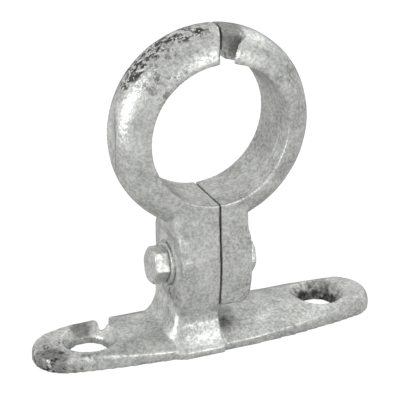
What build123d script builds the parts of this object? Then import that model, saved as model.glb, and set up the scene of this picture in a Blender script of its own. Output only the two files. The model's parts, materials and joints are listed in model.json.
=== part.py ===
"""Two-piece pipe clip on a screw-down base, malleable iron, galvanised.

The base casting carries one half of the stem and of the ring. The clamp half
hooks into the top of the base's half ring, and a hexagon bolt through both
halves of the stem draws them together round the tube.

Frame: the plate lies on Z = 0 with its middle at the origin, its length is
along X and the clamped tube runs along Y.
"""

import math
import os

from build123d import *

# --- Driving dimensions, millimetres ---------------------------------------
tube_diameter = 26.9            # outside diameter of the clamped tube
tube_height = 42.4              # tube axis above the mounting face

ring_width = 12.4               # along the tube
ring_thickness = 6.0            # radial, at the middle of the half-round
ring_edge = 0.5                 # straight side wall beside the bore
bore_edge_round = 0.4           # rounding of the bore's two mouths

plate_length = 70.0
plate_width = 18.4              # across the middle of the plate
plate_end_radius = 6.3          # in plan
plate_thickness = 4.4           # at its highest point
plate_edge = 1.2                # straight wall below the rounded shoulder
plate_crown_radius = 16.0       # of the arched top, across the plate
plate_arch_radius = 420.0       # of the arched top, along the plate
plate_arch_peak = 6.0           # X of the highest point; the left end runs out thinner

hole_spacing = 48.2
hole_diameter = 7.2
countersink_diameter = 11.2     # at the crown of the plate
countersink_angle = 90.0        # included angle

seam_gap = 0.3                  # between the two halves of the stem
base_stem_reach = 8.8           # outer face of the base's half, from the seam
clamp_stem_reach = 6.1          # outer face of the clamp's half, from the seam
stem_depth = 12.2               # along the tube, where the stem runs into the ring
stem_run_in = 1.0               # how far the stem's sides rise beside the bore
stem_corner_round = 2.4         # outer corners of the base's half
clamp_corner_round = 1.6        # outer corners of the clamp's half
boss_depth = 14.2               # along the tube, across the swell at the bolt
boss_length = 7.5               # how far the swell spreads up and down the stem
boss_waist = 0.5                # hollow of the base's outer face at the bolt
boss_swell = 0.3                # swell of the clamp's outer face at the bolt
foot_depth = 19.4               # along the tube, at the toe
foot_reach = 12.4               # of the toe beyond the seam
foot_corner_round = 5.2         # toe corners in plan
foot_height = 8.6               # where the flare runs out into the stem
clamp_stem_bottom = 8.0         # lower end of the clamp half
clamp_toe_round = 1.2

bolt_height = 15.2              # bolt axis above the mounting face
bolt_diameter = 3.6
bolt_clearance = 0.25           # radial, in both castings
bolt_shank_length = 18.0
bolt_tip_chamfer = 0.5
hex_across_flats = 6.4          # bolt head and nut
hex_chamfer_angle = 30.0        # of the turned corners, from the outer face
head_height = 2.8
nut_height = 2.8
thread_clearance = 0.05         # radial, between the nut and the shank
washer_diameter = 8.2
washer_thickness = 0.8
washer_clearance = 0.15         # radial, around the shank
seat_margin = 0.4               # flat spot-faced beyond the washer and the nut
seat_depth = 0.2                # spot face below the stem's face
bolt_tilt = 4.0                 # degrees; the hole is cored askew, nut end low

top_gap = 2.4                   # between the halves of the ring at the bore
base_ring_end = 0.5             # end of the base's half ring, short of the seam
shoulder_run = 4.0              # slope of the clamp's shoulders along the ring
tongue_width = 5.8
tongue_reach = 1.4              # tip of the tongue past the end of the base's half
tongue_root = 2.3               # underside of the tongue above the bore
hook_depth = 0.9                # drop of the tip behind the sill
hook_length = 0.8
hook_clearance = 0.3            # round the tongue in its socket

rim_break_width = 3.3           # gap broken through the rear rim of the left hole
rim_break_offset = 5.2          # middle of the gap from the hole's axis, toward the stem
rim_break_lip = 3.2             # where the broken edge starts, from the hole's axis
rim_break_floor = 5.2           # where the gap is full depth, from the hole's axis
rim_break_lip_height = 1.2      # what is left of the rim at the lip

# --- Derived sizes ----------------------------------------------------------
bore_radius = tube_diameter / 2
outer_radius = bore_radius + ring_thickness
bore_bottom = tube_height - bore_radius
bore_top = tube_height + bore_radius
half_ring_width = ring_width / 2
stem_top = bore_bottom + stem_run_in
half_gap = seam_gap / 2
clear_span = plate_length       # longer than anything that a cutter must pass
stem_loft_steps = 12

hole_x = hole_spacing / 2
bolt_hole_radius = bolt_diameter / 2 + bolt_clearance
base_seat_x = boss_waist + seat_depth - base_stem_reach
clamp_seat_x = clamp_stem_reach + boss_swell - seat_depth
head_seat_x = base_seat_x - washer_thickness
hex_flat_radius = hex_across_flats / 2
hex_corner_radius = hex_flat_radius / math.cos(math.pi / 6)
hex_chamfer_spread = 1 / math.tan(math.radians(hex_chamfer_angle))

shoulder_x = top_gap - base_ring_end
tongue_underside = bore_top + tongue_root
tongue_tip_x = -(base_ring_end + tongue_reach)
hook_x = tongue_tip_x + hook_length

ring_axis = Axis((0, 0, tube_height), (0, 1, 0))
ring_top_plane = Plane(origin=(0, 0, tube_height), x_dir=(0, 0, 1), z_dir=(-1, 0, 0))
bolt_axis = Vector(1, 0, 0).rotate(Axis.Y, bolt_tilt)
bolt_plane = Plane(origin=(0, 0, bolt_height), x_dir=(0, 1, 0), z_dir=bolt_axis)
centred_up = (Align.CENTER, Align.CENTER, Align.MIN)


def plate_top(x):
    """Height of the plate's crown at a place along it."""
    return plate_thickness - plate_arch_radius + math.sqrt(plate_arch_radius**2 - (x - plate_arch_peak) ** 2)


def boss(height):
    """Share of the bolt's swell that the stem has at a height."""
    return math.exp(-(((height - bolt_height) / boss_length) ** 2))


def flare(height):
    """Share of the foot's flare that the stem has at a height."""
    return max(0.0, (foot_height - height) / (foot_height - plate_edge)) ** 2


def stem_section(height, reach, corner, widen=0.0):
    """Section of half a stem: flat at the seam, rounded at its outer corners."""
    depth = stem_depth + (boss_depth - stem_depth) * boss(height) + (foot_depth - stem_depth) * widen
    seam_x = math.copysign(half_gap, reach)
    with BuildSketch(Plane.XY.offset(height)) as section:
        with Locations(((seam_x + reach) / 2, 0)):
            Rectangle(abs(reach - seam_x), depth)
        fillet(section.vertices().sort_by(lambda vertex: abs(vertex.X))[-2:], corner)
    return section.sketch


def levels(bottom, top):
    """Evenly spaced heights for the sections of a loft."""
    return [bottom + (top - bottom) * step / stem_loft_steps for step in range(stem_loft_steps + 1)]


# --- Profiles that the two castings share ----------------------------------
with BuildSketch(ring_top_plane) as ring_section:
    with BuildLine():
        flat = Line((bore_radius, -half_ring_width), (bore_radius, half_ring_width))
        side_wall = Line(flat @ 1, (bore_radius + ring_edge, half_ring_width))
        half_round = ThreePointArc(
            side_wall @ 1, (outer_radius, 0), (bore_radius + ring_edge, -half_ring_width)
        )
        Line(half_round @ 1, flat @ 0)
    make_face()

with BuildSketch(ring_top_plane) as bore_section:
    mouth = half_ring_width - bore_edge_round
    mouth_radius = bore_radius + bore_edge_round
    with BuildLine():
        axis_line = Line((0, 0), (0, ring_width))
        Line(axis_line @ 1, (mouth_radius, ring_width))
        lip = Line((mouth_radius, ring_width), (mouth_radius, half_ring_width))
        rounding = RadiusArc(lip @ 1, (bore_radius, mouth), -bore_edge_round)
        Line(rounding @ 1, (bore_radius, 0))
        mirror(about=Plane.XZ)
    make_face()

with BuildSketch() as plate_outline:
    half_length = plate_length / 2
    half_width = plate_width / 2
    end_x = half_length - plate_end_radius
    # Each long side is one arc, tangent to both end rounds.
    side_centre = (end_x**2 + plate_end_radius**2 - half_width**2) / (2 * (half_width - plate_end_radius))
    tangent = Vector(end_x, side_centre).normalized() * plate_end_radius
    corner = (end_x + tangent.X, tangent.Y)
    with BuildLine():
        ThreePointArc((-corner[0], corner[1]), (0, half_width), corner)
        ThreePointArc(corner, (half_length, 0), (corner[0], -corner[1]))
        ThreePointArc((corner[0], -corner[1]), (0, -half_width), (-corner[0], -corner[1]))
        ThreePointArc((-corner[0], -corner[1]), (-half_length, 0), (-corner[0], corner[1]))
    make_face()

# --- Base casting: plate, flared foot, half stem and half ring --------------
base_stem_sections = [
    stem_section(
        height,
        boss_waist * boss(height) - base_stem_reach - (foot_reach - base_stem_reach) * flare(height),
        stem_corner_round + (foot_corner_round - stem_corner_round) * flare(height),
        widen=flare(height),
    )
    for height in levels(plate_edge, stem_top)
]

with BuildPart() as base_casting:
    # Plate with a rounded shoulder and an arched top.
    extrude(to_extrude=plate_outline.sketch, amount=plate_thickness)
    fillet(base_casting.edges().group_by(Axis.Z)[-1], plate_thickness - plate_edge)
    with BuildSketch(Plane.YZ):
        with Locations((0, plate_thickness - plate_crown_radius)):
            Circle(plate_crown_radius)
    extrude(amount=clear_span, both=True, mode=Mode.INTERSECT)
    with BuildSketch(Plane.XZ):
        with Locations((plate_arch_peak, plate_thickness - plate_arch_radius)):
            Circle(plate_arch_radius)
    extrude(amount=clear_span, both=True, mode=Mode.INTERSECT)

    # Foot and stem.
    extrude(to_extrude=base_stem_sections[0].moved(Location((0, 0, -plate_edge))), amount=plate_edge)
    loft(sections=base_stem_sections)

    # Half ring on the left of the seam, stopped short at the top.
    revolve(profiles=ring_section.sketch, axis=ring_axis, revolution_arc=-180)
    revolve(profiles=bore_section.sketch, axis=ring_axis, mode=Mode.SUBTRACT)
    with BuildSketch(Plane.XZ):
        with BuildLine():
            Polyline(
                (-half_gap, plate_thickness),
                (-half_gap, tube_height),
                (-base_ring_end, tube_height),
                (-base_ring_end, clear_span * 2),
                (clear_span, clear_span * 2),
                (clear_span, plate_thickness),
                close=True,
            )
        make_face()
    extrude(amount=clear_span, both=True, mode=Mode.SUBTRACT)

    # Socket for the tongue: a slot open at the top, with a sill that holds the hook.
    with BuildSketch(Plane.XZ):
        with BuildLine():
            Polyline(
                (0, tongue_underside - hook_clearance),
                (hook_x + hook_clearance, tongue_underside - hook_clearance),
                (hook_x + hook_clearance, tongue_underside - hook_depth - hook_clearance),
                (tongue_tip_x - hook_clearance, tongue_underside - hook_depth - hook_clearance),
                (tongue_tip_x - hook_clearance, clear_span * 2),
                (0, clear_span * 2),
                close=True,
            )
        make_face()
    extrude(amount=tongue_width / 2 + hook_clearance, both=True, mode=Mode.SUBTRACT)

    # Bolt hole and the flat that the washer seats on.
    with BuildSketch(bolt_plane):
        Circle(bolt_hole_radius)
    extrude(amount=-clear_span, mode=Mode.SUBTRACT)
    with BuildSketch(bolt_plane.offset(base_seat_x)):
        Circle(washer_diameter / 2 + seat_margin)
    extrude(amount=-foot_reach, mode=Mode.SUBTRACT)

    # Countersunk screw holes.
    with Locations((-hole_x, 0, plate_top(-hole_x)), (hole_x, 0, plate_top(hole_x))):
        CounterSinkHole(hole_diameter / 2, countersink_diameter / 2, counter_sink_angle=countersink_angle)

    # Gap broken through the rear rim of the left hole.
    with BuildSketch(Plane.YZ.offset(rim_break_offset - hole_x)):
        with BuildLine():
            Polyline(
                (rim_break_lip, rim_break_lip_height),
                (rim_break_floor, 0),
                (rim_break_floor, -plate_thickness),
                (plate_width, -plate_thickness),
                (plate_width, plate_thickness * 2),
                (rim_break_lip, plate_thickness * 2),
                close=True,
            )
        make_face()
    extrude(amount=rim_break_width / 2, both=True, mode=Mode.SUBTRACT)
base_casting.part.label = "base_casting"

# --- Clamp half: half stem and half ring, with the hooked tongue -------------
clamp_stem_sections = [
    stem_section(height, clamp_stem_reach + boss_swell * boss(height), clamp_corner_round)
    for height in levels(clamp_stem_bottom, stem_top)
]

with BuildPart() as clamp_half:
    loft(sections=clamp_stem_sections)
    fillet(clamp_half.edges().group_by(Axis.Z)[0].sort_by(Axis.X)[1:], clamp_toe_round)
    revolve(profiles=ring_section.sketch, axis=ring_axis)
    revolve(profiles=bore_section.sketch, axis=ring_axis, mode=Mode.SUBTRACT)

    # Everything left of the seam goes, and under the tongue the end of the ring.
    with BuildSketch(Plane.XZ):
        with BuildLine():
            Polyline(
                (half_gap, 0),
                (half_gap, tube_height),
                (shoulder_x, tube_height),
                (shoulder_x, tongue_underside),
                (hook_x, tongue_underside),
                (hook_x, tongue_underside - hook_depth),
                (tongue_tip_x, tongue_underside - hook_depth),
                (tongue_tip_x, clear_span * 2),
                (-clear_span, clear_span * 2),
                (-clear_span, 0),
                close=True,
            )
        make_face()
    extrude(amount=clear_span, both=True, mode=Mode.SUBTRACT)

    # Shoulders that slope back on both sides of the tongue.
    with BuildSketch(Plane.XY.offset(tube_height)):
        with BuildLine():
            Polyline(
                (-clear_span, tongue_width / 2),
                (shoulder_x + shoulder_run, tongue_width / 2),
                (shoulder_x, half_ring_width),
                (shoulder_x, clear_span),
                (-clear_span, clear_span),
                close=True,
            )
        make_face()
        mirror(about=Plane.XZ)
    extrude(amount=clear_span, mode=Mode.SUBTRACT)

    # Bolt hole and the flat that the nut seats on.
    with BuildSketch(bolt_plane):
        Circle(bolt_hole_radius)
    extrude(amount=clear_span, mode=Mode.SUBTRACT)
    with BuildSketch(bolt_plane.offset(clamp_seat_x)):
        Circle(hex_corner_radius + seat_margin)
    extrude(amount=clamp_stem_reach, mode=Mode.SUBTRACT)
clamp_half.part.label = "clamp_half"

# --- Bolt, washer and nut ----------------------------------------------------
with BuildPart() as clamp_bolt:
    with BuildSketch(bolt_plane.offset(head_seat_x)):
        RegularPolygon(hex_flat_radius, 6, major_radius=False)
    extrude(amount=-head_height)
    with Locations(bolt_plane.offset(head_seat_x - head_height).location):
        Cone(
            hex_flat_radius,
            hex_flat_radius + head_height * hex_chamfer_spread,
            head_height,
            align=centred_up,
            mode=Mode.INTERSECT,
        )
    with BuildSketch(bolt_plane.offset(head_seat_x)):
        Circle(bolt_diameter / 2)
    extrude(amount=bolt_shank_length)
    chamfer(clamp_bolt.edges().group_by(Axis.X)[-1], bolt_tip_chamfer)
clamp_bolt.part.label = "clamp_bolt"

with BuildPart() as bolt_washer:
    with BuildSketch(bolt_plane.offset(head_seat_x)):
        Circle(washer_diameter / 2)
        Circle(bolt_diameter / 2 + washer_clearance, mode=Mode.SUBTRACT)
    extrude(amount=washer_thickness)
bolt_washer.part.label = "bolt_washer"

with BuildPart() as clamp_nut:
    with BuildSketch(bolt_plane.offset(clamp_seat_x)):
        RegularPolygon(hex_flat_radius, 6, major_radius=False)
        Circle(bolt_diameter / 2 + thread_clearance, mode=Mode.SUBTRACT)
    extrude(amount=nut_height)
    with Locations(bolt_plane.offset(clamp_seat_x).location):
        Cone(
            hex_flat_radius + nut_height * hex_chamfer_spread,
            hex_flat_radius,
            nut_height,
            align=centred_up,
            mode=Mode.INTERSECT,
        )
clamp_nut.part.label = "clamp_nut"

os.makedirs("parts", exist_ok=True)
export_step(base_casting.part, "parts/base_casting.step")
export_step(clamp_half.part, "parts/clamp_half.step")
export_step(clamp_bolt.part, "parts/clamp_bolt.step")
export_step(bolt_washer.part, "parts/bolt_washer.step")
export_step(clamp_nut.part, "parts/clamp_nut.step")
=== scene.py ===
"""Looks of a galvanised two-piece tube clamp on its screw-down base, and the studio round it."""

import json
import math

import bmesh
import bpy
from bpy.props import FloatProperty, FloatVectorProperty, IntProperty, PointerProperty
from mathutils import Matrix, Vector
from mathutils.bvhtree import BVHTree


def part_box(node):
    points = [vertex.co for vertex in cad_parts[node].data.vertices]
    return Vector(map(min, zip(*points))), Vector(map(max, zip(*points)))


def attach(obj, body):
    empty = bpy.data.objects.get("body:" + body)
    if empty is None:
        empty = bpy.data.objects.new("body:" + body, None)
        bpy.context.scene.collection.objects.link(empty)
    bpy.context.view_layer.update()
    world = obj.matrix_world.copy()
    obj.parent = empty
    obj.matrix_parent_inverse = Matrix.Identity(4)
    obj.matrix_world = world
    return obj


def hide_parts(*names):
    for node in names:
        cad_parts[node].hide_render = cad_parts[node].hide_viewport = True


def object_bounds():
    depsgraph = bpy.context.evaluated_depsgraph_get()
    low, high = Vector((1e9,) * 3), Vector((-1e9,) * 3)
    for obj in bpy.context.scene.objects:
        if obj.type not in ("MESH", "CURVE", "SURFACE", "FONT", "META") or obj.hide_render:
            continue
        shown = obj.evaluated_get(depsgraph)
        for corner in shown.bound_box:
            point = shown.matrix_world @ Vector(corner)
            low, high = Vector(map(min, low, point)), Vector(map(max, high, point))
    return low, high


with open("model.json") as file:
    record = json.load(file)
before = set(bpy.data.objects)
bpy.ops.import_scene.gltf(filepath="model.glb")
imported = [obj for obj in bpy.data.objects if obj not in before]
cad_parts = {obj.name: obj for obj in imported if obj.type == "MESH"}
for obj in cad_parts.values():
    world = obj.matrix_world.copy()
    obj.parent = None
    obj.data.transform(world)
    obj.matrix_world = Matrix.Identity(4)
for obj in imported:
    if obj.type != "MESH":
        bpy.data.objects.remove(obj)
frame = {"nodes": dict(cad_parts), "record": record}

bl_info = {
    "name": "Tube Clamp Base Flange",
    "version": (1, 0, 0),
    "blender": (4, 5, 0),
    "location": "View3D > Sidebar > Tube Clamp",
    "description": "Dresses a galvanised two-piece tube clamp and lights it",
    "category": "Object",
}

CAD_LOW, CAD_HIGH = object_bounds()
MM = 0.001
BODY = "root"
TUBE = next(mount for mount in frame["record"]["mounts"] if mount["name"] == "tube_seat")
TUBE_CENTRE = Vector(TUBE["pos_m"])

# Sizes of the castings, as the part has them.
RING_HALF_WIDTH = 6.2 * MM
RING_THICKNESS = 6.0 * MM
BORE = CAD_HIGH.z - TUBE_CENTRE.z - RING_THICKNESS
BOLT_HEIGHT = 15.2 * MM
WASHER_CLEAR = 4.5 * MM
BASE_STEM_REACH = 8.8 * MM
BASE_STEM_CORNER = 2.4 * MM
CLAMP_STEM_CORNER = 1.6 * MM
STEM_HALF_DEPTH = 6.1 * MM
FOOT_END = 14.0 * MM
FOOT_TOP = 8.6 * MM
TONGUE_HALF_WIDTH = 2.9 * MM

# How the skins are shaped.
NOSE_START = -3.5 * MM
TONGUE_END = 3.2 * MM
TONGUE_ROOT = 1.5 * MM
SKIN_MARGIN = 0.05 * MM
BLOCK_ROWS = 32
BLOCK_STEPS = 14
STEM_LEVEL = 0.5 * MM
SQUARENESS = 10
SQUARED_FROM_BASE = 7.0 * MM
SQUARED_FROM_CLAMP = 8.6 * MM
SQUARED_TO = 24.0 * MM
WASHER_FADE = 1.7 * MM
FOOT_PULL = 0.5
FOOT_FADE_IN = (3.9 * MM, 6.1 * MM)
FOOT_FADE_OUT = (7.4 * MM, FOOT_TOP)

# Studio.
FLOOR_HALF = 1.5
FLOOR_GLOW = 1.12
FLOOR_GLOW_SHARE = 0.85
WORLD_STRENGTH = 0.832
# Name, place, size and power of each lamp.
LAMPS = (
    ("left_strip", (-0.50, -0.05, 0.12), (0.10, 0.45), 1.53),
    ("front_right", (0.15, -0.50, 0.25), (0.25, 0.25), 0.68),
    ("right_back", (0.42, 0.16, 0.42), (0.35, 0.35), 0.45),
)


# --- Properties --------------------------------------------------------------
class CastingProperties(bpy.types.PropertyGroup):
    voxel: FloatProperty(name="Skin Cell", description="Cell size of the castings' skin",
                         default=0.30 * MM, unit="LENGTH", precision=5)
    rounding: IntProperty(name="Edge Rounding", default=2,
                          description="Smoothing passes over the as-cast edges")
    swell: FloatProperty(name="Swell", description="Height of the slow unevenness of the casting",
                         default=0.10 * MM, unit="LENGTH", precision=5)
    swell_size: FloatProperty(name="Swell Size", description="Width of the slow unevenness",
                              default=6.0 * MM, unit="LENGTH", precision=5)
    grain: FloatProperty(name="Grain", description="Height of the sand grain under the zinc",
                         default=0.035 * MM, unit="LENGTH", precision=5)
    grain_size: FloatProperty(name="Grain Size", description="Width of the sand grain",
                              default=0.9 * MM, unit="LENGTH", precision=5)
    nose: FloatProperty(name="Nose", description="How far the base's ring end reaches past the middle",
                        default=1.15 * MM, unit="LENGTH", precision=5)
    nose_radius: FloatProperty(name="Nose Radius", description="Radius of that end, seen from above",
                               default=10.1 * MM, unit="LENGTH", precision=5)
    nose_gap: FloatProperty(name="Nose Gap", description="Gap between that end and the tongue",
                            default=0.3 * MM, unit="LENGTH", precision=5)
    stem_inset: FloatProperty(name="Stem Inset", description="How far the stem's outer face is drawn in",
                              default=0.45 * MM, unit="LENGTH", precision=5)


class FastenerProperties(bpy.types.PropertyGroup):
    voxel: FloatProperty(name="Skin Cell", description="Cell size of the fasteners' skin",
                         default=0.12 * MM, unit="LENGTH", precision=5)
    rounding: IntProperty(name="Edge Rounding", default=9,
                          description="Smoothing passes over the zinc-filled edges")
    swell: FloatProperty(name="Swell", description="Height of the zinc's unevenness",
                         default=0.05 * MM, unit="LENGTH", precision=5)
    swell_size: FloatProperty(name="Swell Size", description="Width of the zinc's unevenness",
                              default=2.2 * MM, unit="LENGTH", precision=5)


class FinishProperties(bpy.types.PropertyGroup):
    # Also the colour of the painted highlight on proud edges.
    zinc_light_and_highlight: FloatVectorProperty(name="Bright Zinc", description="Colour of the fresh zinc",
                                    subtype="COLOR", size=3, default=(0.72, 0.73, 0.70))
    zinc_dull: FloatVectorProperty(name="Dull Zinc", description="Colour of the weathered zinc",
                                   subtype="COLOR", size=3, default=(0.27, 0.275, 0.265))
    # Also the colour of the painted shade in corners, hollows, gaps and at grazing angles.
    spatter_and_shade_dark: FloatVectorProperty(name="Dark Spatter", description="Colour of the dross spatter",
                                   subtype="COLOR", size=3, default=(0.045, 0.045, 0.043))
    floor: FloatVectorProperty(name="Floor", description="Colour of the floor",
                               subtype="COLOR", size=3, default=(0.62, 0.62, 0.62))


class CameraProperties(bpy.types.PropertyGroup):
    place: FloatVectorProperty(name="Camera Place", description="Where the camera stands", subtype="XYZ",
                               unit="LENGTH", size=3, default=(-0.10346, -0.23402, 0.13814), precision=5)
    aim: FloatVectorProperty(name="Camera Aim", description="Point that the camera looks at", subtype="XYZ",
                             unit="LENGTH", size=3, default=(-0.00153, 0.0, 0.02776), precision=5)
    lens: FloatProperty(name="Lens", description="Focal length in millimetres", default=133.73)
    roll: FloatProperty(name="Roll", description="Turn about the line of sight", subtype="ANGLE",
                        default=math.radians(0.6))


# --- Shader groups -------------------------------------------------------------
def new_group(name, inputs, outputs):
    """A shader node group with these sockets; returns the tree, its input node and its output node."""
    tree = bpy.data.node_groups.new(name, "ShaderNodeTree")
    for label, kind, value in inputs:
        socket = tree.interface.new_socket(label, in_out="INPUT", socket_type=kind)
        if value is not None:
            socket.default_value = value
    for label, kind in outputs:
        tree.interface.new_socket(label, in_out="OUTPUT", socket_type=kind)
    return tree, tree.nodes.new("NodeGroupInput"), tree.nodes.new("NodeGroupOutput")


def add(tree, kind, inputs=None, **settings):
    """Adds a node with its settings and its unlinked input values."""
    node = tree.nodes.new(kind)
    for key, value in settings.items():
        setattr(node, key, value)
    for key, value in (inputs or {}).items():
        node.inputs[key].default_value = value
    return node


def link(tree, start, end):
    tree.links.new(start, end)


def math_node(tree, operation, first, second, clamp=False):
    """A Math node; each operand is a socket or a number."""
    node = add(tree, "ShaderNodeMath", operation=operation, use_clamp=clamp)
    for index, operand in enumerate((first, second)):
        if isinstance(operand, (int, float)):
            node.inputs[index].default_value = operand
        elif operand is not None:
            link(tree, operand, node.inputs[index])
    return node.outputs[0]


def ramp(tree, source, low, high):
    """Smooth step of a value from 0 at low to 1 at high."""
    node = add(tree, "ShaderNodeMapRange", {"From Min": low, "From Max": high},
               interpolation_type="SMOOTHSTEP")
    link(tree, source, node.inputs["Value"])
    return node.outputs["Result"]


def mix_colour(tree, factor, first, second):
    node = add(tree, "ShaderNodeMix", data_type="RGBA")
    for socket, value in ((node.inputs[0], factor), (node.inputs[6], first), (node.inputs[7], second)):
        if isinstance(value, bpy.types.NodeSocket):
            link(tree, value, socket)
        else:
            socket.default_value = value
    return node.outputs[2]


def noise(tree, vector, scale, detail=3.0, roughness=0.55, distortion=0.0):
    node = add(tree, "ShaderNodeTexNoise",
               {"Scale": scale, "Detail": detail, "Roughness": roughness, "Distortion": distortion})
    link(tree, vector, node.inputs["Vector"])
    return node.outputs["Fac"]


def zinc_mottle_group():
    """Cloudy bright and dull zinc with crystal patches, fine speckle and a matching roughness and height."""
    tree, source, sink = new_group(
        "Zinc Mottle",
        [("Vector", "NodeSocketVector", None),
         ("Bright", "NodeSocketColor", (0.66, 0.67, 0.64, 1)),
         ("Dull", "NodeSocketColor", (0.36, 0.37, 0.35, 1)),
         ("Dullness", "NodeSocketFloat", 0.5)],
        [("Color", "NodeSocketColor"), ("Roughness", "NodeSocketFloat"), ("Height", "NodeSocketFloat")],
    )
    vector = source.outputs["Vector"]
    cloud = noise(tree, vector, 230.0, 4.0, 0.65)
    crystal = add(tree, "ShaderNodeTexVoronoi", {"Scale": 420.0, "Randomness": 1.0}, feature="F1")
    link(tree, vector, crystal.inputs["Vector"])
    crystal_tone = add(tree, "ShaderNodeSeparateColor")
    link(tree, crystal.outputs["Color"], crystal_tone.inputs[0])
    speckle = noise(tree, vector, 1700.0, 3.0, 0.75)
    tone = math_node(tree, "ADD",
                     math_node(tree, "MULTIPLY", ramp(tree, cloud, 0.34, 0.66), 0.34),
                     math_node(tree, "MULTIPLY", crystal_tone.outputs[0], 0.14))
    tone = math_node(tree, "ADD", tone, math_node(tree, "MULTIPLY", ramp(tree, speckle, 0.36, 0.64), 0.52))
    dulled = math_node(tree, "ADD", tone, source.outputs["Dullness"])
    level = math_node(tree, "SUBTRACT", 1.5, dulled, clamp=True)
    colour = mix_colour(tree, level, source.outputs["Dull"], source.outputs["Bright"])
    link(tree, colour, sink.inputs["Color"])
    gloss = math_node(tree, "MULTIPLY", level, 0.20)
    link(tree, math_node(tree, "SUBTRACT", 0.52, gloss), sink.inputs["Roughness"])
    height = math_node(tree, "ADD", math_node(tree, "MULTIPLY", speckle, 0.5),
                       math_node(tree, "MULTIPLY", cloud, 0.6))
    link(tree, height, sink.inputs["Height"])
    return tree


def spatter_and_shade_group():
    """Dark grains, thick in the middle of a patch and thinning out round it: dross spatter, and painted shade
    where a patch is laid over a shaded place.
    """
    tree, source, sink = new_group(
        "Dross Spatter And Shade",
        [("Vector", "NodeSocketVector", None), ("Centre", "NodeSocketVector", None),
         ("Reach", "NodeSocketFloat", 0.012), ("Amount", "NodeSocketFloat", 1.0)],
        [("Mask", "NodeSocketFloat")],
    )
    vector = source.outputs["Vector"]
    distance = add(tree, "ShaderNodeVectorMath", operation="DISTANCE")
    link(tree, vector, distance.inputs[0])
    link(tree, source.outputs["Centre"], distance.inputs[1])
    share = math_node(tree, "DIVIDE", distance.outputs["Value"], source.outputs["Reach"])
    patch = ramp(tree, share, 1.0, 0.35)
    grains = noise(tree, vector, 900.0, 3.0, 0.75, 0.3)
    clusters = noise(tree, vector, 260.0, 2.0, 0.5)
    mask = math_node(tree, "MULTIPLY", ramp(tree, grains, 0.50, 0.60), ramp(tree, clusters, 0.42, 0.58))
    mask = math_node(tree, "MULTIPLY", math_node(tree, "MULTIPLY", mask, patch), source.outputs["Amount"])
    link(tree, mask, sink.inputs["Mask"])
    return tree


def ring_band_group():
    """Coarse dark and bright grains in a zone of the ring, set by two angles and two places across it."""
    tree, source, sink = new_group(
        "Ring Band",
        [("Vector", "NodeSocketVector", None), ("Centre", "NodeSocketVector", None),
         ("Start", "NodeSocketFloat", 1.6), ("End", "NodeSocketFloat", 2.8),
         ("Front", "NodeSocketFloat", -0.0015), ("Back", "NodeSocketFloat", 0.0062)],
        [("Dark", "NodeSocketFloat"), ("Bright", "NodeSocketFloat")],
    )
    vector = source.outputs["Vector"]
    offset = add(tree, "ShaderNodeVectorMath", operation="SUBTRACT")
    link(tree, vector, offset.inputs[0])
    link(tree, source.outputs["Centre"], offset.inputs[1])
    parts = add(tree, "ShaderNodeSeparateXYZ")
    link(tree, offset.outputs[0], parts.inputs[0])
    wobble = math_node(tree, "SUBTRACT", noise(tree, vector, 320.0, 2.0), 0.5)
    angle = math_node(tree, "ARCTAN2", parts.outputs["Z"], parts.outputs["X"])
    angle = math_node(tree, "ADD", angle, math_node(tree, "MULTIPLY", wobble, 0.7))
    across = math_node(tree, "ADD", parts.outputs["Y"], math_node(tree, "MULTIPLY", wobble, 0.006))
    zone = ramp(tree, math_node(tree, "SUBTRACT", angle, source.outputs["Start"]), 0.0, 0.2)
    for distance, soft in (
        (math_node(tree, "SUBTRACT", source.outputs["End"], angle), 0.35),
        (math_node(tree, "SUBTRACT", across, source.outputs["Front"]), 0.0015),
        (math_node(tree, "SUBTRACT", source.outputs["Back"], across), 0.0005),
    ):
        zone = math_node(tree, "MULTIPLY", zone, ramp(tree, distance, 0.0, soft))
    dark = ramp(tree, noise(tree, vector, 800.0, 3.0, 0.7, 0.4), 0.44, 0.53)
    bright = ramp(tree, noise(tree, vector, 1150.0, 2.0, 0.7), 0.56, 0.62)
    link(tree, math_node(tree, "MULTIPLY", zone, dark), sink.inputs["Dark"])
    link(tree, math_node(tree, "MULTIPLY", zone, bright), sink.inputs["Bright"])
    return tree


def painted_shade_group():
    """A patch of painted shade round a point, blotchy towards its rim."""
    tree, source, sink = new_group(
        "Painted Shade Patch",
        [("Vector", "NodeSocketVector", None), ("Centre", "NodeSocketVector", None),
         ("Reach", "NodeSocketFloat", 0.004), ("Amount", "NodeSocketFloat", 1.0)],
        [("Mask", "NodeSocketFloat")],
    )
    vector = source.outputs["Vector"]
    distance = add(tree, "ShaderNodeVectorMath", operation="DISTANCE")
    link(tree, vector, distance.inputs[0])
    link(tree, source.outputs["Centre"], distance.inputs[1])
    share = math_node(tree, "DIVIDE", distance.outputs["Value"], source.outputs["Reach"])
    centred = math_node(tree, "SUBTRACT", noise(tree, vector, 700.0, 3.0, 0.7), 0.5)
    blotch = math_node(tree, "MULTIPLY", centred, 0.9)
    mask = ramp(tree, math_node(tree, "ADD", share, blotch), 1.0, 0.6)
    link(tree, math_node(tree, "MULTIPLY", mask, source.outputs["Amount"]), sink.inputs["Mask"])
    return tree


def painted_edge_light_group():
    """Masks of the proud edges, for a painted highlight, and of the sunk corners, for painted shade."""
    tree, _, sink = new_group("Painted Edge Light", [], [("Proud", "NodeSocketFloat"), ("Sunk", "NodeSocketFloat")])
    point = add(tree, "ShaderNodeNewGeometry").outputs["Pointiness"]
    link(tree, ramp(tree, point, 0.54, 0.60), sink.inputs["Proud"])
    link(tree, ramp(tree, point, 0.475, 0.40), sink.inputs["Sunk"])
    return tree


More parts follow.
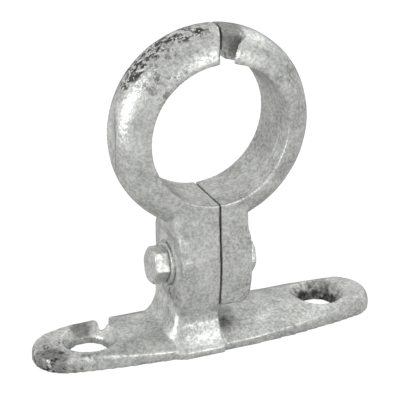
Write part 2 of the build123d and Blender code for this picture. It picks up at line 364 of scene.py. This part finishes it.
def zinc_material(name, finish, dullness, spatters_and_shade=(), painted_shades=(), bands=()):
    """Hot-dip zinc with painted shade and painted highlights; spatters_and_shade and painted_shades list
    (centre, reach, amount), bands (start, end, front, back).
    """
    material = bpy.data.materials.new(name)
    material.use_nodes = True
    tree = material.node_tree
    shader = tree.nodes["Principled BSDF"]
    shader.inputs["Metallic"].default_value = 0.8
    place = add(tree, "ShaderNodeTexCoord").outputs["Object"]
    bright_zinc_and_highlight = (*finish.zinc_light_and_highlight, 1)
    dark_spatter_and_shade = (*finish.spatter_and_shade_dark, 1)

    def effect(group, **values):
        """A node of a shared effect, read at the object's own coordinates."""
        node = add(tree, "ShaderNodeGroup")
        node.node_tree = bpy.data.node_groups[group]
        for label, value in values.items():
            node.inputs[label].default_value = value
        if "Vector" in node.inputs:
            link(tree, place, node.inputs["Vector"])
        return node

    mottle = effect("Zinc Mottle", Bright=bright_zinc_and_highlight, Dull=(*finish.zinc_dull, 1), Dullness=dullness)
    colour, roughness, height = (mottle.outputs[label] for label in ("Color", "Roughness", "Height"))
    for start, end, front, back in bands:
        band = effect("Ring Band", Centre=TUBE_CENTRE, Start=start, End=end, Front=front, Back=back)
        colour = mix_colour(tree, band.outputs["Dark"], colour, dark_spatter_and_shade)
        colour = mix_colour(tree, band.outputs["Bright"], colour, bright_zinc_and_highlight)
        height = math_node(tree, "SUBTRACT", height, math_node(tree, "MULTIPLY", band.outputs["Dark"], 0.5))
    # Dross spatter and patches of painted shade darken the colour, roughen it and sink its height.
    for group, patches in (("Dross Spatter And Shade", spatters_and_shade), ("Painted Shade Patch", painted_shades)):
        for centre, reach, amount in patches:
            mask = effect(group, Centre=centre, Reach=reach, Amount=amount).outputs["Mask"]
            colour = mix_colour(tree, mask, colour, dark_spatter_and_shade)
            roughness = math_node(tree, "ADD", roughness, math_node(tree, "MULTIPLY", mask, 0.25))
            height = math_node(tree, "SUBTRACT", height, math_node(tree, "MULTIPLY", mask, 0.4))
    # Painted highlight on proud edges and painted shade in sunk corners, both from how pointed the surface
    # is.
    edge_light = effect("Painted Edge Light")
    colour = mix_colour(tree, math_node(tree, "MULTIPLY", edge_light.outputs["Proud"], 0.55), colour, bright_zinc_and_highlight)
    colour = mix_colour(tree, math_node(tree, "MULTIPLY", edge_light.outputs["Sunk"], 0.8), colour, dark_spatter_and_shade)
    # Painted shade: the colour darkens where the surface turns away from the view, as thin dark outlines.
    rim = ramp(tree, add(tree, "ShaderNodeLayerWeight", {"Blend": 0.5}).outputs["Facing"], 0.70, 0.98)
    colour = mix_colour(tree, math_node(tree, "MULTIPLY", rim, 0.7), colour, dark_spatter_and_shade)
    link(tree, colour, shader.inputs["Base Color"])
    link(tree, roughness, shader.inputs["Roughness"])
    bump = add(tree, "ShaderNodeBump", {"Strength": 0.9, "Distance": 0.00013})
    link(tree, height, bump.inputs["Height"])
    link(tree, bump.outputs[0], shader.inputs["Normal"])
    return material


# --- Geometry trees --------------------------------------------------------------
def new_geometry_tree(name, inputs):
    tree = bpy.data.node_groups.new(name, "GeometryNodeTree")
    tree.interface.new_socket("Geometry", in_out="INPUT", socket_type="NodeSocketGeometry")
    for label, kind, value in inputs:
        socket = tree.interface.new_socket(label, in_out="INPUT", socket_type=kind)
        if value is not None:
            socket.default_value = value
    tree.interface.new_socket("Geometry", in_out="OUTPUT", socket_type="NodeSocketGeometry")
    return tree, tree.nodes.new("NodeGroupInput"), tree.nodes.new("NodeGroupOutput")


def as_cast_tree():
    """Moves a skin along its normals by a slow swell and a fine sand grain."""
    tree, source, sink = new_geometry_tree("As Cast Surface", [
        ("Swell", "NodeSocketFloat", 0.0001), ("Swell Size", "NodeSocketFloat", 0.006),
        ("Grain", "NodeSocketFloat", 0.00003), ("Grain Size", "NodeSocketFloat", 0.0009),
        ("Material", "NodeSocketMaterial", None),
    ])
    place = add(tree, "GeometryNodeInputPosition").outputs[0]
    normal = add(tree, "GeometryNodeInputNormal").outputs[0]
    offset = None
    for height_label, size_label, detail in (("Swell", "Swell Size", 1.0), ("Grain", "Grain Size", 2.0)):
        texture = add(tree, "ShaderNodeTexNoise", {"Detail": detail, "Roughness": 0.5})
        link(tree, place, texture.inputs["Vector"])
        link(tree, math_node(tree, "DIVIDE", 1.0, source.outputs[size_label]), texture.inputs["Scale"])
        centred = math_node(tree, "SUBTRACT", texture.outputs["Fac"], 0.5)
        whole = math_node(tree, "MULTIPLY", centred, 2.0)
        rise = math_node(tree, "MULTIPLY", whole, source.outputs[height_label])
        offset = rise if offset is None else math_node(tree, "ADD", offset, rise)
    along = add(tree, "ShaderNodeVectorMath", operation="SCALE")
    link(tree, normal, along.inputs[0])
    link(tree, offset, along.inputs["Scale"])
    move = add(tree, "GeometryNodeSetPosition")
    link(tree, source.outputs["Geometry"], move.inputs["Geometry"])
    link(tree, along.outputs[0], move.inputs["Offset"])
    realize = add(tree, "GeometryNodeRealizeInstances")
    link(tree, move.outputs[0], realize.inputs[0])
    paint = add(tree, "GeometryNodeSetMaterial")
    link(tree, realize.outputs[0], paint.inputs["Geometry"])
    link(tree, source.outputs["Material"], paint.inputs["Material"])
    link(tree, paint.outputs[0], sink.inputs[0])
    return tree


# --- Meshes ------------------------------------------------------------------------
def ring_surface():
    """The base casting's own surface, for measuring."""
    shell = bmesh.new()
    shell.from_mesh(frame["nodes"]["base_casting"].data)
    surface = BVHTree.FromBMesh(shell)
    shell.free()
    return surface


def ring_outside(surface, across):
    """Outer radius of the ring at a place across its width, left of the joint, where the ring is whole."""
    axis = TUBE_CENTRE + Vector((0, across, 0))
    outwards = Vector((-0.5, 0, math.sqrt(0.75)))
    hit = surface.ray_cast(axis + outwards * 0.05, -outwards)[0]
    return (hit - axis).length


def ring_block(shell, half_width, inside, start, end):
    """Adds a closed piece of the ring, x from start(y) to end(y), the radius from inside to the skin."""
    surface = ring_surface()
    layers = []
    for row in range(BLOCK_ROWS + 1):
        across = half_width * (2 * row / BLOCK_ROWS - 1)
        outside = ring_outside(surface, across)
        for radius in (inside, outside):
            for step in range(BLOCK_STEPS + 1):
                x = start(across) + (end(across) - start(across)) * step / BLOCK_STEPS
                z = TUBE_CENTRE.z + math.sqrt(radius ** 2 - x ** 2)
                layers.append(shell.verts.new((x, across, z)))
    count = BLOCK_STEPS + 1

    def vert(row, layer, step):
        return layers[(row * 2 + layer) * count + step]

    faces = []
    for row in range(BLOCK_ROWS):
        for layer in (0, 1):
            for step in range(BLOCK_STEPS):
                faces.append(shell.faces.new((vert(row, layer, step), vert(row + 1, layer, step),
                                              vert(row + 1, layer, step + 1), vert(row, layer, step + 1))))
        for step in (0, BLOCK_STEPS):
            faces.append(shell.faces.new((vert(row, 0, step), vert(row + 1, 0, step),
                                          vert(row + 1, 1, step), vert(row, 1, step))))
    for row in (0, BLOCK_ROWS):
        for step in range(BLOCK_STEPS):
            faces.append(shell.faces.new((vert(row, 0, step), vert(row, 0, step + 1),
                                          vert(row, 1, step + 1), vert(row, 1, step))))
    bmesh.ops.recalc_face_normals(shell, faces=faces)


def nose_end(sizes, gap=0.0):
    """Plan of the base's rounded ring end: x as a function of the place across the ring."""
    radius = sizes.nose_radius + gap
    centre = sizes.nose - sizes.nose_radius
    return lambda across: centre + math.sqrt(radius ** 2 - across ** 2)


def close_nose(shell, sizes):
    """Rounds out the base's ring end over the hook."""
    ring_block(shell, RING_HALF_WIDTH - SKIN_MARGIN, BORE + SKIN_MARGIN,
               lambda across: NOSE_START, nose_end(sizes))


def deepen_tongue(shell, sizes):
    """Ends the clamp's tongue round the nose and gives it its full depth."""
    limit = sizes.nose + sizes.nose_gap
    for vert in shell.verts:
        if vert.co.z > TUBE_CENTRE.z and vert.co.x < limit:
            vert.co.x = limit
    ring_block(shell, TONGUE_HALF_WIDTH, BORE + TONGUE_ROOT,
               nose_end(sizes, sizes.nose_gap), lambda across: TONGUE_END)


def copy_of_node(node, name, shape, sizes):
    """A closed copy of a CAD node's mesh in an object of its own, with its extra closed pieces."""
    mesh = frame["nodes"][node].data.copy()
    shell = bmesh.new()
    shell.from_mesh(mesh)
    bmesh.ops.remove_doubles(shell, verts=shell.verts, dist=0.002 * MM)
    if shape:
        shape(shell, sizes)
    shell.to_mesh(mesh)
    shell.free()
    mesh.materials.clear()
    for layer in list(mesh.uv_layers):
        mesh.uv_layers.remove(layer)
    piece = bpy.data.objects.new(name, mesh)
    bpy.context.scene.collection.objects.link(piece)
    return piece


def smooth_step(value, low, high):
    share = min(max((value - low) / (high - low), 0.0), 1.0)
    return share * share * (3 - 2 * share)


def stem_levels(piece, side):
    """Reach and half depth of one half of the stem, level by level."""
    levels = {}
    for vertex in piece.data.vertices:
        x, y, z = vertex.co
        reach, half = levels.get(round(z / STEM_LEVEL), (0.0, 0.0))
        if abs(y) < 3 * MM:
            reach = max(reach, side * x)
        if 1 * MM < side * x < 4 * MM:
            half = max(half, abs(y))
        levels[round(z / STEM_LEVEL)] = (reach, half)
    return levels


def square_stem(piece, side, corner, low, high, inset):
    """Squares the stem's rounded corners and draws its outer face in, clear of the bolt's seat."""
    levels = stem_levels(piece, side)
    for vertex in piece.data.vertices:
        x, y, z = vertex.co
        weight = smooth_step(z, low, low + 1.5 * MM) * (1 - smooth_step(z, high - 2.5 * MM, high))
        below = math.floor(z / STEM_LEVEL)
        if weight <= 0 or below not in levels or below + 1 not in levels:
            continue
        share = z / STEM_LEVEL - below
        reach, half = (levels[below][i] * (1 - share) + levels[below + 1][i] * share for i in (0, 1))
        outwards, sideways = side * x - (reach - corner), abs(y) - (half - corner)
        if outwards > 0 and sideways > 0:
            length = math.hypot(outwards, sideways)
            total = (outwards / length) ** SQUARENESS + (sideways / length) ** SQUARENESS
            grow = 1 + (total ** (-1 / SQUARENESS) - 1) * weight
            vertex.co.x = side * (reach - corner + outwards * grow)
            vertex.co.y = math.copysign(half - corner + sideways * grow, y)
        clear = smooth_step(math.hypot(y, z - BOLT_HEIGHT), WASHER_CLEAR, WASHER_CLEAR + WASHER_FADE)
        vertex.co.x -= side * inset * weight * clear * smooth_step(side * x, 2 * MM, reach - 0.5 * MM)


def lower_foot(piece):
    """Draws the foot's flare down and in towards the plate."""
    for vertex in piece.data.vertices:
        x, y, z = vertex.co
        pull = FOOT_PULL * smooth_step(z, *FOOT_FADE_IN) * (1 - smooth_step(z, *FOOT_FADE_OUT))
        if pull > 0 and x > -FOOT_END:
            beyond = -x - BASE_STEM_REACH
            if beyond > 0:
                vertex.co.x += beyond * pull
            beyond = abs(y) - STEM_HALF_DEPTH
            if beyond > 0:
                vertex.co.y -= math.copysign(beyond * pull, y)


def add_tree(piece, tree, values):
    """A Geometry Nodes modifier whose inputs are set by their identifiers."""
    modifier = piece.modifiers.new(tree.name, "NODES")
    modifier.node_group = tree
    for item in tree.interface.items_tree:
        if item.in_out == "INPUT" and item.name in values:
            modifier[item.identifier] = values[item.name]
    return modifier


def bake(piece):
    """Turns the object's modifiers into its plain mesh."""
    evaluated = piece.evaluated_get(bpy.context.evaluated_depsgraph_get())
    mesh = bpy.data.meshes.new_from_object(evaluated)
    old = piece.data
    piece.modifiers.clear()
    piece.data = mesh
    bpy.data.meshes.remove(old)
    return piece


def keep_inside(piece, low, high):
    """Brings back every vertex that stands proud of a box."""
    for vertex in piece.data.vertices:
        for axis in range(3):
            vertex.co[axis] = min(max(vertex.co[axis], low[axis]), high[axis])


def skin_of(node, name, sizes, values, material, shape=None, trim=None):
    """A cast skin over a CAD node, in its place; shape changes the copy, trim the smoothed skin."""
    piece = copy_of_node(node, name, shape, sizes)
    remesh = piece.modifiers.new("Skin", "REMESH")
    remesh.mode = "VOXEL"
    remesh.voxel_size = sizes.voxel
    remesh.use_smooth_shade = True
    smooth = piece.modifiers.new("Cast Edges", "SMOOTH")
    smooth.factor = 0.5
    smooth.iterations = sizes.rounding
    bake(piece)
    if trim:
        trim(piece)
    add_tree(piece, bpy.data.node_groups["As Cast Surface"], {**values, "Material": material})
    bake(piece)
    keep_inside(piece, *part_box(node))
    piece.data.materials.clear()
    piece.data.materials.append(material)
    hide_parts(node)
    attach(piece, BODY)
    return piece


# --- Operators -----------------------------------------------------------------------
class OBJECT_OT_clamp_finishes(bpy.types.Operator):
    """Makes the zinc finishes that the pieces share, with their painted shade and painted highlights"""

    bl_idname = "object.clamp_finishes"
    bl_label = "Zinc Finishes"

    def execute(self, context):
        finish = context.scene.clamp_finish
        zinc_mottle_group()
        spatter_and_shade_group()
        ring_band_group()
        painted_shade_group()
        painted_edge_light_group()
        as_cast_tree()
        # Painted shade in the dark cavity under the clamp's toe, at the seam.
        shade_under_toe = (Vector((2.2, -5.0, 6.2)) * MM, 3.2 * MM, 0.9)
        zinc_material(
            "base_zinc", finish, 0.45,
            spatters_and_shade=[
                (TUBE_CENTRE + Vector((-10.0, -5.0, 13.0)) * MM, 9.0 * MM, 0.6),
                # Dark grains laid thick here to paint the shade on the plate's left front end.
                (Vector((-31.0, -4.0, 2.0)) * MM, 9.5 * MM, 1.0),
                (Vector((-8.5, -2.0, 10.0)) * MM, 6.0 * MM, 0.7),
            ],
            painted_shades=[
                shade_under_toe,
                # Painted shade in the right hole's countersink and bore.
                (Vector((24.1, 0.4, 2.8)) * MM, 5.0 * MM, 0.95),
                # Painted shade on the plate's left front end.
                (Vector((-33.0, -3.5, 1.5)) * MM, 4.5 * MM, 0.6),
                # Painted shade on the far side of the left hole's countersink.
                (Vector((-24.1, 4.6, 3.0)) * MM, 2.6 * MM, 0.6),
            ],
            bands=[(1.52, 2.85, -3.2 * MM, 6.4 * MM)],
        )
        zinc_material(
            "clamp_zinc", finish, 0.45,
            spatters_and_shade=[
                (TUBE_CENTRE + Vector((14.0, -4.0, 10.0)) * MM, 6.0 * MM, 0.5),
                (Vector((5.0, -4.0, 12.0)) * MM, 6.0 * MM, 0.4),
            ],
            # Painted shade under the clamp's toe and on the recessed tongue at the top joint.
            painted_shades=[shade_under_toe, (TUBE_CENTRE + Vector((2.2, -1.0, 18.4)) * MM, 4.6 * MM, 0.5)],
        )
        zinc_material("fastener_zinc", finish, 0.4)
        return {"FINISHED"}


class OBJECT_OT_clamp_castings(bpy.types.Operator):
    """Gives both castings their galvanised as-cast skins"""

    bl_idname = "object.clamp_castings"
    bl_label = "Casting Skins"

    def execute(self, context):
        sizes = context.scene.clamp_casting
        values = {"Swell": sizes.swell, "Swell Size": sizes.swell_size,
                  "Grain": sizes.grain, "Grain Size": sizes.grain_size}

        def trim_base(piece):
            square_stem(piece, -1, BASE_STEM_CORNER, SQUARED_FROM_BASE, SQUARED_TO, sizes.stem_inset)
            lower_foot(piece)

        def trim_clamp(piece):
            square_stem(piece, 1, CLAMP_STEM_CORNER, SQUARED_FROM_CLAMP, SQUARED_TO, 0.0)

        materials = bpy.data.materials
        skin_of("base_casting", "base_skin", sizes, values, materials["base_zinc"], close_nose, trim_base)
        skin_of("clamp_half", "clamp_skin", sizes, values, materials["clamp_zinc"], deepen_tongue, trim_clamp)
        return {"FINISHED"}


class OBJECT_OT_clamp_fasteners(bpy.types.Operator):
    """Gives the bolt, washer and nut their zinc-softened shapes"""

    bl_idname = "object.clamp_fasteners"
    bl_label = "Bolt, Washer and Nut"

    def execute(self, context):
        sizes = context.scene.clamp_fastener
        values = {"Swell": sizes.swell, "Swell Size": sizes.swell_size, "Grain": 0.0, "Grain Size": 1.0}
        for node in ("clamp_bolt", "bolt_washer", "clamp_nut"):
            skin_of(node, node + "_skin", sizes, values, bpy.data.materials["fastener_zinc"])
        return {"FINISHED"}


def lamp(name, place, aim, size, power):
    data = bpy.data.lights.new(name, "AREA")
    data.shape = "RECTANGLE"
    data.size, data.size_y = size
    data.energy = power
    body = bpy.data.objects.new(name, data)
    body.location = place
    body.rotation_euler = (Vector(aim) - Vector(place)).to_track_quat("-Z", "Y").to_euler()
    bpy.context.scene.collection.objects.link(body)
    return body


class OBJECT_OT_clamp_stage(bpy.types.Operator):
    """Sets the floor, the light and the camera"""

    bl_idname = "object.clamp_stage"
    bl_label = "Stage"

    def execute(self, context):
        scene = context.scene
        finish = scene.clamp_finish
        view = scene.clamp_camera
        # Floor.
        mesh = bpy.data.meshes.new("floor")
        corners = [(x * FLOOR_HALF, y * FLOOR_HALF, 0) for x, y in ((-1, -1), (1, -1), (1, 1), (-1, 1))]
        mesh.from_pydata(corners, [], [(0, 1, 2, 3)])
        floor = bpy.data.objects.new("floor", mesh)
        floor.location.z = CAD_LOW.z
        scene.collection.objects.link(floor)
        material = bpy.data.materials.new("floor")
        material.use_nodes = True
        tree = material.node_tree
        shader = tree.nodes["Principled BSDF"]
        shader.inputs["Base Color"].default_value = (*finish.floor, 1)
        shader.inputs["Roughness"].default_value = 0.9
        shader.inputs["Specular IOR Level"].default_value = 0.1
        path = add(tree, "ShaderNodeLightPath")
        glow = add(tree, "ShaderNodeEmission", {"Color": (1, 1, 1, 1), "Strength": FLOOR_GLOW})
        blend = add(tree, "ShaderNodeMixShader")
        share = math_node(tree, "MULTIPLY", path.outputs["Is Camera Ray"], FLOOR_GLOW_SHARE)
        link(tree, share, blend.inputs[0])
        link(tree, shader.outputs[0], blend.inputs[1])
        link(tree, glow.outputs[0], blend.inputs[2])
        link(tree, blend.outputs[0], tree.nodes["Material Output"].inputs[0])
        mesh.materials.append(material)
        # World: plain light on the object, white behind it.
        world = bpy.data.worlds.new("studio")
        scene.world = world
        world.use_nodes = True
        tree = world.node_tree
        path = add(tree, "ShaderNodeLightPath")
        seen = math_node(tree, "ADD", path.outputs["Is Camera Ray"], path.outputs["Is Transmission Ray"],
                         clamp=True)
        background = tree.nodes["Background"]
        background.inputs["Color"].default_value = (1, 1, 1, 1)
        extra = math_node(tree, "MULTIPLY", seen, 1.0 - WORLD_STRENGTH)
        link(tree, math_node(tree, "ADD", extra, WORLD_STRENGTH), background.inputs["Strength"])
        # Lamps.
        middle = (CAD_LOW + CAD_HIGH) / 2
        for name, place, size, power in LAMPS:
            lamp(name, place, middle, size, power)
        # Camera.
        data = bpy.data.cameras.new("camera")
        data.lens = view.lens
        data.sensor_width = 36.0
        data.clip_start, data.clip_end = 0.01, 10.0
        camera = bpy.data.objects.new("camera", data)
        place, aim = Vector(view.place), Vector(view.aim)
        turn = (aim - place).to_track_quat("-Z", "Y").to_matrix() @ Matrix.Rotation(view.roll, 3, "Z")
        camera.matrix_world = Matrix.Translation(place) @ turn.to_4x4()
        scene.collection.objects.link(camera)
        scene.camera = camera
        scene.view_settings.view_transform = "Standard"
        return {"FINISHED"}


class VIEW3D_PT_tube_clamp(bpy.types.Panel):
    """Lists the steps that dress the clamp, with their sizes and colours"""

    bl_idname = "VIEW3D_PT_tube_clamp"
    bl_label = "Tube Clamp"
    bl_space_type = "VIEW_3D"
    bl_region_type = "UI"
    bl_category = "Tube Clamp"

    def draw(self, context):
        for step, group in STEPS:
            box = self.layout.box()
            box.operator(step.bl_idname)
            properties = getattr(context.scene, group)
            for name in properties.bl_rna.properties.keys():
                if name not in ("name", "rna_type"):
                    box.prop(properties, name)


STEPS = (
    (OBJECT_OT_clamp_finishes, "clamp_finish"),
    (OBJECT_OT_clamp_castings, "clamp_casting"),
    (OBJECT_OT_clamp_fasteners, "clamp_fastener"),
    (OBJECT_OT_clamp_stage, "clamp_camera"),
)
GROUPS = {
    "clamp_finish": FinishProperties,
    "clamp_casting": CastingProperties,
    "clamp_fastener": FastenerProperties,
    "clamp_camera": CameraProperties,
}


def register():
    for name, group in GROUPS.items():
        bpy.utils.register_class(group)
        setattr(bpy.types.Scene, name, PointerProperty(type=group))
    for step, _ in STEPS:
        bpy.utils.register_class(step)
    bpy.utils.register_class(VIEW3D_PT_tube_clamp)


def unregister():
    bpy.utils.unregister_class(VIEW3D_PT_tube_clamp)
    for step, _ in reversed(STEPS):
        bpy.utils.unregister_class(step)
    for name, group in GROUPS.items():
        delattr(bpy.types.Scene, name)
        bpy.utils.unregister_class(group)


def main():
    register()
    bpy.ops.object.clamp_finishes()
    bpy.ops.object.clamp_castings()
    bpy.ops.object.clamp_fasteners()
    bpy.ops.object.clamp_stage()


if __name__ == "__main__":
    main()
